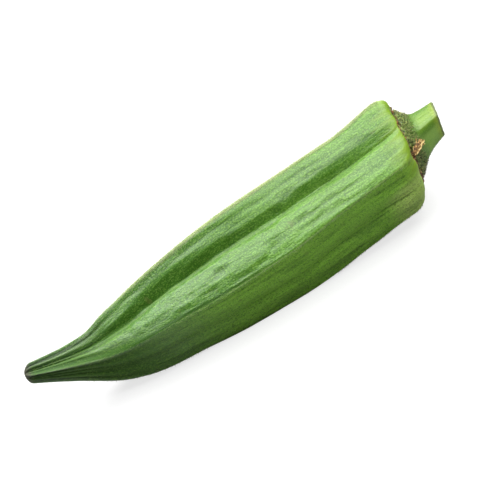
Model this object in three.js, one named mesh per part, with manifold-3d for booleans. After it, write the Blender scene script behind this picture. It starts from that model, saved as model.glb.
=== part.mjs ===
// An okra pod as picked, lying on its side: the five-ribbed pod, the cap and cut stalk at its
// stem end, and the dried ring that the fallen calyx left in the crease between the two.
// Millimetres. +X runs from the tip to the stalk, +Z is up, and z = 0 is the surface it lies on.
// A place on the pod is given by its station (distance from the tip), a face (0 to 4, each
// between two ridges), how far across that face it is (0 to 1), and the reach from the axis.
// Angles round the axis are in degrees: 0 faces -Y, 90 is up, 180 faces +Y.

import * as THREE from 'three';
import { mergeVertices } from 'three/addons/utils/BufferGeometryUtils.js';
import Module from 'manifold-3d';

const wasm = await Module();
wasm.setup();

// Where the pod lies.
const startX = -48.53; // station 0, from the middle of the part's length
const sideShift = -0.31; // brings the middle of the part's width to y = 0
const axisHeight = 13.32; // the level that the axis heights below are measured from

// The pod. Lists are [station, value] pairs that a smooth curve runs through.
const tipStation = 0.4; // the end of the blunt tip
const podLength = 88.2; // the station of the rim
const crestRadius = [
  [0, 1.5], [8, 3.15], [13, 4.65], [18, 6.75], [23, 8.15], [33, 9.7],
  [45, 11.0], [58, 11.55], [72, 11.1], [78, 10.95], [84, 11.15], [podLength, 11.3],
];
const axisRise = [
  [0, 1.45], [5, -0.46], [10, -2.32], [15, -3.88], [22, -4.73], [35, -4.22],
  [50, -3.66], [60, -3.37], [70, -2.49], [podLength, -1.44],
];
const tipDome = 1.3; // length of the rounded end
const faceSink = [[0, 0.17], [8, 0.2], [18, 0.2], [30, 0.17], [50, 0.16], [75, 0.15], [podLength, 0.12]];
const sinkSpan = 72; // the face width, in degrees, that faceSink is given for
const crestSoftness = 0.16; // 0 would be a sharp edge along each ridge
const grooveDepth = [[0, 0.3], [10, 0.4], [25, 0.6], [60, 0.5], [80, 0.4], [podLength, 0.1]];
const grooveWidth = [[0, 0.5], [20, 1.0], [50, 1.2], [podLength, 1.2]];
const padHeight = [[0, 0], [10, 0.12], [25, 0.4], [45, 0.55], [70, 0.45], [84, 0.3], [podLength, 0.1]];
const padScale = 2.6; // brings a pad's highest line to its height
const keelHeight = 0.22; // the raised thread along each ridge
const keelWidth = 0.42;

// The ridges, in order round the pod. angle: where the crest runs; rise: how far it stands above
// crestRadius; ear: how far it flares at the rim; shoulder: how squarely it turns to the rim;
// reach: how far the rim stands out there. Then the face that follows it. valleyShift: how far
// its valley lies from its middle, as a share of the face; groove: the valley's share of
// grooveDepth; pads: the share of padHeight before and after the valley, and how steeply each
// pad falls.
const level = [[0, 0], [podLength, 0]];
const ridges = [
  {
    angle: [[0, 100], [15, 97], [45, 95], [65, 98], [podLength, 102]],
    rise: [[0, 0.07], [15, 0.4], [45, 1.0], [65, 0.65], [podLength, 0.3]],
    ear: 1.15, shoulder: 2.8, reach: -0.3,
    valleyShift: [[0, -0.04], [18, -0.09], [33, -0.14], [45, -0.135], [60, -0.07], [podLength, 0]],
    groove: 1.9, pads: [{ share: 1.2, fall: 3 }, { share: 0.8, fall: 1.5 }],
  },
  {
    angle: [[0, 19], [23, 23.5], [43, 19], [62, 21], [podLength, 27]],
    rise: level, ear: 0, shoulder: 2.3, reach: -0.05,
    valleyShift: [[0, 0], [45, 0.02], [podLength, -0.03]],
    groove: 0.45, pads: [{ share: 0.6, fall: 3 }, { share: 0.5, fall: 3 }],
  },
  {
    angle: [[0, -56], [45, -57.5], [podLength, -52]],
    rise: level, ear: -0.55, shoulder: 1.9, reach: -0.75,
    valleyShift: [[0, 0], [45, -0.02], [podLength, 0.02]],
    groove: 1, pads: [{ share: -0.5, fall: 3 }, { share: -0.5, fall: 3 }],
  },
  {
    angle: [[0, -125], [45, -123.7], [podLength, -121]],
    rise: level, ear: 0.1, shoulder: 2.2, reach: 0.1,
    valleyShift: [[0, 0.02], [45, 0.03], [podLength, 0]],
    groove: 1, pads: [{ share: 0.5, fall: 3 }, { share: 0.8, fall: 3 }],
  },
  {
    angle: [[0, -190], [45, -191], [podLength, -187]],
    rise: level, ear: 0.4, shoulder: 2.4, reach: 0.25,
    valleyShift: [[0, 0], [45, -0.03], [podLength, 0.02]],
    groove: 0.9, pads: [{ share: 0.7, fall: 3 }, { share: 1, fall: 3 }],
  },
];
const valleyReach = -0.25; // the rim draws back between the ridges
const earStart = 74;
const earEnd = 86;
const shoulderStart = 83.6;

// The stem end. Its rings lean back, and they sit off the pod's axis towards the same side.
const lean = 9.5; // degrees
const leanToward = 125; // the side that reaches furthest
const leanStart = 62;
const rimShift = 1.15;
const lipRadius = 8.85; // the rim's highest line, just outside the recess
const lipRound = 0.25;
const middleRadius = 4; // inside this the stem end is level
const recessDepth = 1.2;
const gap = 0.3; // between neighbouring pieces

// The cap and stalk: [height above the rim, value] pairs.
const stalkLength = 8;
const stalkRadius = [
  [0, 7.3], [0.8, 6.8], [1.6, 5.8], [2.3, 5.1], [3.2, 4.45], [4.75, 3.9], [6.3, 3.6], [stalkLength, 3.4],
];
const stalkRise = [[0, 0.1], [2.3, 0.2], [3.2, 0.3], [4.75, 0.65], [6.3, 0.95], [stalkLength, 1.25]];
const stalkEdges = 0.05; // how far its five edges stand out, as a share of the radius
const edgesStart = 1; // the height where they begin to show
const edgesEnd = 4; // and where they stand out in full
const cutLean = 3.5; // how much more than the rings the cut end leans, in degrees
const cutBevel = 0.25;

// The dried ring, and the torn shred that stands from it over the cap. width is a share of
// shredWidth.
const scarOuter = 8.3;
const scarInner = 7.6;
const scarTop = 0.2; // height of its crest
const scarCrest = 0.4; // how far in from the outer side the crest is
const scarRound = 0.2; // how far its sides are rounded off
const shredPath = [
  { height: -0.3, radius: 7.95, angle: 21, width: 0.8 }, { height: 0.5, radius: 7.8, angle: 23, width: 1 },
  { height: 1.3, radius: 7.1, angle: 27, width: 0.85 }, { height: 2.1, radius: 6.3, angle: 32, width: 1 },
  { height: 2.8, radius: 5.75, angle: 37, width: 0.55 },
];
const shredWidth = 1.6;
const shredThickness = 0.5;
const shredFace = 0.8; // its flat face leans this much towards the stalk for each 1 outward

// How finely the surfaces are divided.
const faceSteps = [0, 0.04, 0.12, 0.24, 0.36, 0.44, 0.5, 0.56, 0.64, 0.76, 0.88, 0.96];
const tipRows = 5;
const bodyRows = 38;
const shoulderRows = 7;
const lipRows = 2;
const stalkRows = 14;
const stalkCrowding = 1.15; // above 1, its rows stand closer near the cap

const radians = Math.PI / 180;

function smoothStep(t) {
  const u = Math.min(Math.max(t, 0), 1);
  return u * u * (3 - 2 * u);
}

function bell(x) {
  return Math.exp(-0.5 * x * x);
}

// The value at a station on the smooth curve through [station, value] pairs: a cubic between
// each two, whose slope at a pair is the mean of the slopes on its two sides, the nearer first.
function curveThrough(pairs, station) {
  const last = pairs.length - 1;
  let i = 0;
  while (i < last - 1 && station >= pairs[i + 1][0]) i++;
  const slope = (j) => (pairs[j + 1][1] - pairs[j][1]) / (pairs[j + 1][0] - pairs[j][0]);
  const width = (j) => pairs[j + 1][0] - pairs[j][0];
  const tangent = (j) => {
    if (j === 0) return slope(0);
    if (j === last) return slope(last - 1);
    return (slope(j - 1) * width(j) + slope(j) * width(j - 1)) / (width(j - 1) + width(j));
  };
  const h = width(i);
  const t = Math.min(Math.max((station - pairs[i][0]) / h, 0), 1);
  const start = (2 * t ** 3 - 3 * t ** 2 + 1) * pairs[i][1] + (t ** 3 - 2 * t ** 2 + t) * h * tangent(i);
  const end = (3 * t ** 2 - 2 * t ** 3) * pairs[i + 1][1] + (t ** 3 - t ** 2) * h * tangent(i + 1);
  return start + end;
}

// The columns round the pod: a face and how far across it.
const columns = ridges.flatMap((_, face) => faceSteps.map((across) => ({ face, across })));

function nextRidge(face) {
  return ridges[(face + 1) % ridges.length];
}

// Where a column lies round the axis at a station, the width of its face, both in degrees, and
// how much of that width lies before it. A shifted valley crowds the columns to one side.
function columnAngle({ face, across }, station) {
  const from = curveThrough(ridges[face].angle, station);
  const fullTurn = face === ridges.length - 1 ? 360 : 0;
  const span = from - (curveThrough(nextRidge(face).angle, station) - fullTurn);
  const shift = curveThrough(ridges[face].valleyShift, station);
  const share = across + 4 * shift * across * (1 - across);
  return { angle: from - span * share, span, share };
}

// A ridge's own value blended across the face to the next ridge's.
function blendAcross({ face, across }, key) {
  return ridges[face][key] * (1 - across) + nextRidge(face)[key] * across;
}

function nearestRidge({ face, across }) {
  return across <= 0.5 ? ridges[face] : nextRidge(face);
}

// 1 on a ridge's crest, dying away down its flanks.
function crestShare({ across }) {
  return Math.cos(Math.PI * Math.min(across, 1 - across)) ** 4;
}

// The pod's reach from its axis: the crest radius, less the sink of the face between the ridges,
// less the groove down the valley, plus the pads beside the valley, the thread along the crest,
// the ridge's own rise and the ear at the rim. inward runs from 0 at a ridge to 1 at the valley.
function podRadius(column, station) {
  const { across } = column;
  const face = ridges[column.face];
  const ridge = nearestRidge(column);
  const { span, share } = columnAngle(column, station);
  const crest = curveThrough(crestRadius, station);
  const e = crestSoftness;
  const arch = (Math.hypot(Math.sin(Math.PI * across), e) - e) / (Math.hypot(1, e) - e);
  const sink = curveThrough(faceSink, station) * (span / sinkSpan) * arch;
  const arc = span * radians * crest;
  const fromValley = (share - 0.5 - curveThrough(face.valleyShift, station)) * arc;
  const fromCrest = Math.min(share, 1 - share) * arc;
  const valley = bell(fromValley / curveThrough(grooveWidth, station));
  const groove = face.groove * curveThrough(grooveDepth, station) * valley;
  const inward = 2 * Math.min(across, 1 - across);
  const pad = face.pads[across < 0.5 ? 0 : 1];
  const padShape = padScale * inward ** (pad.fall / 2) * (1 - inward ** pad.fall);
  const padRise = pad.share * curveThrough(padHeight, station) * padShape;
  const keel = keelHeight * bell(fromCrest / keelWidth);
  const ear = ridge.ear * smoothStep((station - earStart) / (earEnd - earStart));
  const stand = (curveThrough(ridge.rise, station) + ear) * crestShare(column);
  return crest * (1 - sink) - groove + padRise + keel + stand;
}

// How far the rim stands out of its plane at a column, fading towards the middle.
function rimReach(column, radius) {
  const valley = 2 * Math.min(column.across, 1 - column.across);
  const reach = nearestRidge(column).reach * crestShare(column) + valleyReach * valley ** 2;
  return reach * smoothStep((radius - middleRadius) / (lipRadius - middleRadius));
}

// A point at a station, an angle and a radius. The ring stands square to the curved axis, and
// near the stem end it leans. raise moves it along X and shift moves it off the axis.
function place(station, angle, radius, raise = 0, shift = 0, extraLean = 0) {
  const step = 0.05;
  const low = Math.max(station - step, 0);
  const high = Math.min(station + step, podLength);
  const slope = (curveThrough(axisRise, high) - curveThrough(axisRise, low)) / (high - low);
  const along = Math.hypot(1, slope);
  const up = radius * Math.sin(angle * radians);
  const side = radius * Math.cos(angle * radians);
  const leanShare = smoothStep((station - leanStart) / (podLength - leanStart));
  const leanBy = Math.tan((lean * leanShare + extraLean) * radians) * radius;
  const toward = leanToward * radians;
  const x = startX + station - (up * slope) / along + raise + leanBy * Math.cos(angle * radians - toward);
  const y = sideShift - side - shift * Math.cos(toward);
  const z = axisHeight + curveThrough(axisRise, station) + up / along + shift * Math.sin(toward);
  return [x, y, z];
}

// A point of the stem end: height is above the rim's plane, rise is off the pod's axis.
function placeAtRim(column, radius, height, rise = 0, extraLean = 0) {
  const { angle } = columnAngle(column, podLength);
  return place(podLength, angle, radius, height + rimReach(column, radius), rimShift + rise, extraLean);
}

// A closed surface from rows of points: each row is a ring, the ends are closed to a point, or
// the last row joins the first where the solid is itself a ring.
function closedSurface(rows, isRing = false) {
  const count = rows[0].length;
  const points = rows.flat();
  const triangles = [];
  const bands = isRing ? rows.length : rows.length - 1;
  for (let i = 0; i < bands; i++) {
    for (let j = 0; j < count; j++) {
      const a = i * count + j;
      const b = i * count + ((j + 1) % count);
      const c = ((i + 1) % rows.length) * count + ((j + 1) % count);
      const d = ((i + 1) % rows.length) * count + j;
      triangles.push(a, b, c, a, c, d);
    }
  }
  if (!isRing) {
    for (const [row, turned] of [[0, true], [rows.length - 1, false]]) {
      const centre = [0, 1, 2].map((axis) => rows[row].reduce((sum, p) => sum + p[axis], 0) / count);
      const middle = points.push(centre) - 1;
      for (let j = 0; j < count; j++) {
        const a = row * count + j;
        const b = row * count + ((j + 1) % count);
        triangles.push(...(turned ? [middle, b, a] : [middle, a, b]));
      }
    }
  }
  const geometry = new THREE.BufferGeometry();
  geometry.setAttribute('position', new THREE.Float32BufferAttribute(points.flat(), 3));
  geometry.setIndex(triangles);
  return geometry;
}

function toSolid(geometry) {
  const bare = geometry.clone();
  for (const name of ['normal', 'uv']) bare.deleteAttribute(name);
  const merged = mergeVertices(bare);
  const mesh = new wasm.Mesh({
    numProp: 3,
    vertProperties: new Float32Array(merged.attributes.position.array),
    triVerts: new Uint32Array(merged.index.array),
  });
  return new wasm.Manifold(mesh);
}

function toGeometry(solid) {
  const { vertProperties, triVerts } = solid.getMesh();
  const geometry = new THREE.BufferGeometry();
  geometry.setAttribute('position', new THREE.Float32BufferAttribute(vertProperties, 3));
  geometry.setIndex([...triVerts]);
  return geometry;
}

// One ring of the pod at a station, drawn in to a share of its radius.
function bodyRow(station, share = 1) {
  return columns.map((column) => {
    const { angle } = columnAngle(column, station);
    return place(station, angle, podRadius(column, station) * share);
  });
}

// One ring of the shoulder, where each ridge turns in to the rim on its own rounded path.
function shoulderRow(turn) {
  return columns.map((column) => {
    const power = 2 / blendAcross(column, 'shoulder');
    const along = Math.sin(turn) ** power;
    const outward = Math.max(Math.cos(turn), 0) ** power;
    const station = shoulderStart + (podLength - shoulderStart) * along;
    const { angle } = columnAngle(column, station);
    const radius = lipRadius + (podRadius(column, station) - lipRadius) * outward;
    const raise = rimReach(column, lipRadius) * along ** 3;
    return place(station, angle, radius, raise, rimShift * (1 - outward));
  });
}

function rimRow(radius, height) {
  return columns.map((column) => placeAtRim(column, radius, height));
}

// The pod: tip dome, ribbed body, shoulder, lip and the shallow recess that holds the cap. The
// two lowest ridges are flattened a little where it lies on them.
function podGeometry() {
  const domeEnd = tipStation + tipDome;
  const rows = [];
  for (let i = 1; i <= tipRows; i++) {
    const turn = (i / tipRows) * (Math.PI / 2);
    rows.push(bodyRow(tipStation + tipDome * (1 - Math.cos(turn)), Math.sin(turn)));
  }
  for (let i = 1; i <= bodyRows; i++) {
    rows.push(bodyRow(domeEnd + ((shoulderStart - domeEnd) * i) / bodyRows));
  }
  for (let i = 1; i <= shoulderRows; i++) {
    rows.push(shoulderRow((i / shoulderRows) * (Math.PI / 2)));
  }
  for (let i = 1; i <= lipRows; i++) {
    const turn = (i / lipRows) * (Math.PI / 2);
    rows.push(rimRow(lipRadius - lipRound * Math.sin(turn), lipRound * (Math.cos(turn) - 1)));
  }
  const wall = lipRadius - lipRound;
  rows.push(rimRow(wall, -recessDepth), rimRow(wall / 2, -recessDepth));
  const above = new THREE.BoxGeometry(2 * podLength, podLength, podLength);
  above.translate(0, 0, podLength / 2);
  return toGeometry(toSolid(closedSurface(rows)).intersect(toSolid(above)));
}

// The stalk's edges follow the pod's ridges.
function stalkRow(radius, height, extraLean = 0) {
  const rise = curveThrough(stalkRise, Math.max(height, 0));
  const edges = smoothStep((height - edgesStart) / (edgesEnd - edgesStart)) * stalkEdges;
  return columns.map((column) => {
    const reach = radius * (1 + edges * Math.cos(2 * Math.PI * column.across));
    return placeAtRim(column, reach, height, rise, extraLean);
  });
}

// The cap fills the recess and draws in to the stalk, which ends in a slanted cut.
function stalkGeometry() {
  const base = stalkRadius[0][1];
  const end = stalkRadius[stalkRadius.length - 1][1];
  const rows = [stalkRow(base / 2, gap - recessDepth), stalkRow(base, gap - recessDepth)];
  for (let i = 0; i <= stalkRows; i++) {
    const height = (stalkLength - cutBevel) * (i / stalkRows) ** stalkCrowding;
    const extraLean = cutLean * (height / stalkLength) ** 2;
    rows.push(stalkRow(curveThrough(stalkRadius, height), height, extraLean));
  }
  rows.push(stalkRow(end - cutBevel, stalkLength, cutLean));
  rows.push(stalkRow(end / 2, stalkLength, cutLean));
  return closedSurface(rows);
}

// The shred: a flat strip with tapered ends along its path, square across to the cap's surface.
function shredGeometry() {
  const centres = shredPath.map(({ height, radius, angle }) => (
    new THREE.Vector3(...place(podLength, angle, radius, height, rimShift))
  ));
  const outward = shredPath.map(({ height, angle }) => {
    const axis = new THREE.Vector3(...place(podLength, angle, 0, height, rimShift));
    const beyond = new THREE.Vector3(...place(podLength, angle, 1, height + shredFace, rimShift));
    return beyond.sub(axis).normalize();
  });
  const rows = centres.map((centre, i) => {
    const ahead = centres[Math.min(i + 1, centres.length - 1)];
    const along = ahead.clone().sub(centres[Math.max(i - 1, 0)]).normalize();
    const across = new THREE.Vector3().crossVectors(along, outward[i]).normalize();
    const half = (shredWidth / 2) * shredPath[i].width;
    const thick = shredThickness / 2;
    return [[1, 0], [0.5, -1], [-0.5, -1], [-1, 0], [-0.5, 1], [0.5, 1]].map(([w, t]) => {
      const aside = centre.clone().addScaledVector(across, w * half);
      return aside.addScaledVector(outward[i], t * thick).toArray();
    });
  });
  return closedSurface(rows);
}

// The dried ring, a closed band in the crease, with the shred joined to it.
function scarGeometry() {
  const bottom = gap - recessDepth;
  const rows = [
    rimRow(scarInner, bottom), rimRow(scarOuter, bottom), rimRow(scarOuter - scarRound, scarTop - scarRound),
    rimRow(scarOuter - scarCrest, scarTop), rimRow(scarInner + scarRound / 2, scarTop - scarRound),
  ];
  return toGeometry(toSolid(closedSurface(rows, true)).add(toSolid(shredGeometry())));
}

function material(color, roughness) {
  return new THREE.MeshStandardMaterial({ color, roughness, metalness: 0 });
}

function piece(name, geometry, surface) {
  const mesh = new THREE.Mesh(geometry, surface);
  mesh.name = name;
  return mesh;
}

const okra = new THREE.Group();
okra.add(piece('pod', podGeometry(), material(0x4d8a2c, 0.6)));
okra.add(piece('stalk', stalkGeometry(), material(0x86a83a, 0.65)));
okra.add(piece('calyx_scar', scarGeometry(), material(0x7a4f28, 0.9)));

export default okra;
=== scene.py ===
import bpy
import numpy as np
from mathutils import Matrix, Vector


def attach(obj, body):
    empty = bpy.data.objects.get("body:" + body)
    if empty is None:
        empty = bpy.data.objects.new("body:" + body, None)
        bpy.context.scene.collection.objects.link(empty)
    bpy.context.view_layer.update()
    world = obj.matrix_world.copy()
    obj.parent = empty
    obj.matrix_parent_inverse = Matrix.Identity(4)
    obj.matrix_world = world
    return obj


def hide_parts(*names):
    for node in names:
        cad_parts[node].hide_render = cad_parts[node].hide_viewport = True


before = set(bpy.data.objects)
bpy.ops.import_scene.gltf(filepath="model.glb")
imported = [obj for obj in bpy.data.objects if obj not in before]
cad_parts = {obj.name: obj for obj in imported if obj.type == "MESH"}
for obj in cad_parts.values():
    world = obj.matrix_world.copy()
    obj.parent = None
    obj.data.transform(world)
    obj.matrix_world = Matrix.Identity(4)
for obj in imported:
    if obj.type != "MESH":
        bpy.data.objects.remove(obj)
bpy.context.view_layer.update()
mm = 0.001


# 0 to 1 with level ends: 3 t squared less 2 t cubed, with t held between 0 and 1.
def smoothStep(t):
    t = np.clip(t, 0, 1)
    return t * t * (3 - 2 * t)


# A smooth step from 0 at start to 1 at end. Start may be the greater of the two.
def stepUp(value, start, end):
    return smoothStep((value - start) / (end - start))


# A bell, 1 at 0 and 0.61 at 1: e to the power of minus half x squared.
def bell(x):
    return np.exp(-0.5 * x * x)


# An arch or a corner of height 1 with its foot rounded: the root of x squared plus soft squared,
# less soft, over what that comes to at 1.
def softened(x, soft):
    return (np.hypot(x, soft) - soft) / (np.hypot(1, soft) - soft)


# A list's values picked by number at every point.
def pick(values, number):
    return np.array(values)[number]


# Each vector over its own length.
def unit(vectors):
    return vectors / np.maximum(np.linalg.norm(vectors, axis=-1, keepdims=True), 1e-9)


# Even steps up to a quarter turn, in radians, as a column.
def quarterTurn(rows):
    return (np.arange(1, rows + 1) / rows * np.pi / 2)[:, None]


# The smooth curve through [station, value] pairs: a cubic between each two, whose slope at a
# pair is the mean of the slopes on its two sides, weighted towards the nearer pair.
def curveThrough(pairs, at):
    x, y = np.array(pairs, float).T
    width = np.diff(x)
    slope = np.diff(y) / width
    inner = (slope[:-1] * width[1:] + slope[1:] * width[:-1]) / (width[:-1] + width[1:])
    tangent = np.concatenate([slope[:1], inner, slope[-1:]])
    at = np.asarray(at, float)
    i = np.clip(np.searchsorted(x, at, side="right") - 1, 0, len(x) - 2)
    t = np.clip((at - x[i]) / width[i], 0, 1)
    start = (2 * t**3 - 3 * t**2 + 1) * y[i] + (t**3 - 2 * t**2 + t) * width[i] * tangent[i]
    end = (3 * t**2 - 2 * t**3) * y[i + 1] + (t**3 - t**2) * width[i] * tangent[i + 1]
    return start + end


# An even random field that closes round the axis: a sum of cosines, each with a whole number of
# turns round it and its own run along it in radians per millimetre. Its spread is about 1. The
# values called waves, further down, hold a field's seed, count, turns and runs.
def waves(seed, count, turns, runs, angle, station):
    rng = np.random.default_rng(seed)
    total = 0
    for _ in range(count):
        turn = rng.integers(turns[0], turns[1] + 1)
        run = rng.uniform(*runs) * rng.choice([-1, 1])
        total = total + np.cos(turn * np.radians(angle) + run * station + rng.uniform(0, 2 * np.pi))
    return total / np.sqrt(count / 2)


# How the pod lies and how its stem end leans. Stations are millimetres from the tip.
lieValues = {
    "startX": -48.53, "sideShift": -0.31, "axisHeight": 13.32,
    "tipStation": 0.4, "podLength": 88.2,
    "axisRise": [(0, 1.45), (5, -0.46), (10, -2.32), (15, -3.88), (22, -4.73), (35, -4.22),
                 (50, -3.66), (60, -3.37), (70, -2.49), (88.2, -1.44)],
    "lean": 9.5, "leanToward": 125, "leanStart": 62,
    "rimShift": 1.15, "lipRadius": 8.85, "lipRound": 0.25, "recessDepth": 1.2, "middleRadius": 4,
    "lipUneven": 0.13, "lipWaves": (31, 9, (6, 17), (0, 0)),
    "lipFringe": 0.03, "fringeWaves": (32, 12, (26, 70), (0, 0)),
}
# The ridges are in order round the pod; angles are degrees round the axis, 90 up. Lists that
# follow a face are in the same order, each face after its ridge.
formValues = {
    "tipDome": 1.3, "shoulderStart": 83.6, "shoulderArc": 4.8,
    "crestRadius": [(0, 1.5), (8, 3.15), (13, 4.65), (18, 6.75), (23, 8.15), (33, 9.7),
                    (45, 11.0), (58, 11.55), (72, 11.1), (78, 10.95), (84, 11.15), (88.2, 11.3)],
    "faceSink": [(0, 0.17), (8, 0.2), (18, 0.2), (30, 0.17), (50, 0.16), (75, 0.15), (88.2, 0.12)],
    "sinkSpan": 72, "crestSoftness": 0.16,
    "grooveDepth": [(0, 0.3), (10, 0.4), (25, 0.6), (60, 0.5), (80, 0.4), (88.2, 0.1)],
    "grooveWidth": [(0, 0.5), (20, 1.0), (50, 1.2), (88.2, 1.2)],
    "grooveShare": [1.9, 0.45, 1, 1, 0.9],
    "padHeight": [(0, 0), (10, 0.12), (25, 0.4), (45, 0.55), (70, 0.45), (84, 0.3), (88.2, 0.1)],
    "padShare": [[1.2, 0.8], [0.6, 0.5], [-0.5, -0.5], [0.5, 0.8], [0.7, 1]],
    "padFall": [[3, 1.5], [3, 3], [3, 3], [3, 3], [3, 3]], "padScale": 2.6,
    "keelHeight": 0.22, "keelWidth": 0.42,
    "topRise": [(0, 0.07), (9, 0.25), (15, 0.52), (22, 0.6), (45, 1.0), (65, 0.65), (88.2, 0.3)],
    "ridgeAngle": [[(0, 100), (15, 97), (45, 95), (65, 98), (88.2, 102)],
                   [(0, 19), (23, 23.5), (43, 19), (62, 21), (88.2, 27)],
                   [(0, -56), (45, -57.5), (88.2, -52)],
                   [(0, -125), (45, -123.7), (88.2, -121)],
                   [(0, -190), (45, -191), (88.2, -187)]],
    "valleyShift": [[(0, -0.04), (18, -0.09), (33, -0.14), (45, -0.135), (60, -0.07), (88.2, 0)],
                    [(0, 0), (45, 0.02), (88.2, -0.03)],
                    [(0, 0), (45, -0.02), (88.2, 0.02)],
                    [(0, 0.02), (45, 0.03), (88.2, 0)],
                    [(0, 0), (45, -0.03), (88.2, 0.02)]],
    "ear": [1.15, 0, -0.55, 0.1, 0.4], "earRise": (74, 86),
    "shoulder": [2.8, 2.3, 1.9, 2.2, 2.4],
    "reach": [-0.3, -0.05, -0.75, 0.1, 0.25], "valleyReach": -0.25,
}


# One value for each face's list of pairs, picked by the face number at every point.
def perFace(lists, face, station):
    out = np.zeros(np.broadcast(face, station).shape)
    for k, pairs in enumerate(lists):
        out = np.where(face == k, curveThrough(pairs, station), out)
    return out


# The angle round the axis and the width of the face, from how far across the face a point is.
def columnAngle(face, across, station):
    v = formValues
    start = perFace(v["ridgeAngle"], face, station)
    following = perFace(v["ridgeAngle"], (face + 1) % 5, station) - np.where(face == 4, 360, 0)
    span = start - following
    shift = perFace(v["valleyShift"], face, station)
    return start - span * (across + 4 * shift * across * (1 - across)), span


# A face's width in millimetres, round the pod at the height of its crests.
def faceWidth(span, station):
    return np.radians(span) * curveThrough(formValues["crestRadius"], station)


# Millimetres round the pod from the nearest ridge, and past the face's valley.
def arcDistances(face, across, station):
    angle, span = columnAngle(face, across, station)
    share = (perFace(formValues["ridgeAngle"], face, station) - angle) / span
    arc = faceWidth(span, station)
    valley = 0.5 + perFace(formValues["valleyShift"], face, station)
    return np.minimum(share, 1 - share) * arc, (share - valley) * arc


# A ridge's own value blended across the face to the next ridge's.
def blendAcross(values, face, across):
    return pick(values, face) * (1 - across) + pick(values, (face + 1) % 5) * across


# 1 on a ridge's crest, dying away down its flanks.
def crestShare(across):
    return np.cos(np.pi * np.minimum(across, 1 - across)) ** 4


# The face's own ridge up to its middle, and the next face's past it.
def nearestRidge(face, across):
    return np.where(across <= 0.5, face, (face + 1) % 5)


# Reach from the axis: the crest's, less the sink of the face, which is an arch between the
# ridges, less the valley's groove, plus the pad on each side of the valley, the thread on each
# ridge, the top ridge's rise and the ears at the rim. With h from 0 at a ridge to 1 at the
# valley and q for its fall, a pad is h to the power q/2 times 1 - h to the power q.
def podRadius(face, across, station):
    v = formValues
    _, span = columnAngle(face, across, station)
    fromCrest, fromValley = arcDistances(face, across, station)

    def at(key):
        return curveThrough(v[key], station)

    arch = softened(np.sin(np.pi * across), v["crestSoftness"])
    sink = at("faceSink") * (span / v["sinkSpan"]) * arch
    valley = bell(fromValley / at("grooveWidth"))
    groove = pick(v["grooveShare"], face) * at("grooveDepth") * valley
    h = 2 * np.minimum(across, 1 - across)
    side = np.where(across < 0.5, 0, 1)
    fall = pick(v["padFall"], (face, side))
    padShape = v["padScale"] * h ** (fall / 2) * (1 - h**fall)
    pad = pick(v["padShare"], (face, side)) * at("padHeight") * padShape
    keel = v["keelHeight"] * bell(fromCrest / v["keelWidth"])
    ridge = nearestRidge(face, across)
    ear = pick(v["ear"], ridge) * stepUp(station, *v["earRise"])
    rise = ((ridge == 0) * at("topRise") + ear) * crestShare(across)
    return at("crestRadius") * (1 - sink) - groove + pad + keel + rise


# The angle round the axis at the rim and on all of the stem end.
def rimAngle(face, across):
    return columnAngle(face, across, lieValues["podLength"])[0]


# How far the rim stands out of its plane: each ridge's own reach, drawn back between the ridges,
# with a small uneven wave and a finer one, all fading towards the middle of the stem end.
def rimReach(face, across, radius):
    v = formValues
    between = 2 * np.minimum(across, 1 - across)
    angle = rimAngle(face, across)
    reach = pick(v["reach"], nearestRidge(face, across)) * crestShare(across)
    reach = reach + v["valleyReach"] * between**2
    reach = reach + lieValues["lipUneven"] * waves(*lieValues["lipWaves"], angle, 0)
    reach = reach + lieValues["lipFringe"] * waves(*lieValues["fringeWaves"], angle, 0)
    return reach * stepUp(radius, lieValues["middleRadius"], lieValues["lipRadius"])


# A point from its station, angle and radius. Rings stand square to the curved axis and lean
# back near the stem end; along moves the point in X and shift moves it off the axis.
def place(station, angle, radius, along=0.0, shift=0.0, extraLean=0.0):
    v = lieValues
    step = 0.05
    low = np.maximum(station - step, 0)
    high = np.minimum(station + step, v["podLength"])
    slope = (curveThrough(v["axisRise"], high) - curveThrough(v["axisRise"], low)) / (high - low)
    length = np.hypot(1, slope)
    angle = np.radians(angle)
    toward = np.radians(v["leanToward"])
    up = radius * np.sin(angle)
    side = radius * np.cos(angle)
    leanShare = stepUp(station, v["leanStart"], v["podLength"])
    leanBy = np.tan(np.radians(v["lean"] * leanShare + extraLean)) * radius
    x = v["startX"] + station - up * slope / length + along + leanBy * np.cos(angle - toward)
    y = v["sideShift"] - side - shift * np.cos(toward)
    z = v["axisHeight"] + curveThrough(v["axisRise"], station) + up / length
    return np.stack(np.broadcast_arrays(x, y, z + shift * np.sin(toward)), -1)


# Where a surface's streaks are read: the way along the axis and a circle of one size round it.
def flowPlace(along, angle, radius):
    turned = np.radians(angle) + 0 * along
    return np.stack([along, radius * np.cos(turned), radius * np.sin(turned)], -1) * mm


# A point of the stem end: height is above the rim's plane, rise is off the pod's axis.
def placeAtRim(face, across, radius, height, rise=0.0, extraLean=0.0):
    v = lieValues
    along = height + rimReach(face, across, radius)
    shift = v["rimShift"] + rise
    return place(v["podLength"], rimAngle(face, across), radius, along, shift, extraLean)


# Columns round the pod as a face and how far across it, drawn a little closer to the ridges and
# the valleys: even steps less a sine that has two waves to a face.
def roundColumns(perFaceCount, pinch=0.0):
    t = np.arange(perFaceCount) / perFaceCount
    across = t - pinch * np.sin(4 * np.pi * t) / (4 * np.pi)
    return np.repeat(np.arange(5), perFaceCount)[None, :], np.tile(across, 5)[None, :]


# The quads between the rows of a grid whose columns close round, rows upward and columns in the
# order of the faces. On a ring the last row joins the first.
def gridFaces(rows, columns, ring=False):
    i = np.arange(rows if ring else rows - 1)[:, None]
    j = np.arange(columns)[None, :]
    here, nextRow = i * columns, ((i + 1) % rows) * columns
    after = (j + 1) % columns
    return np.stack([here + j, here + after, nextRow + after, nextRow + j], -1).reshape(-1, 4)


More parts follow.
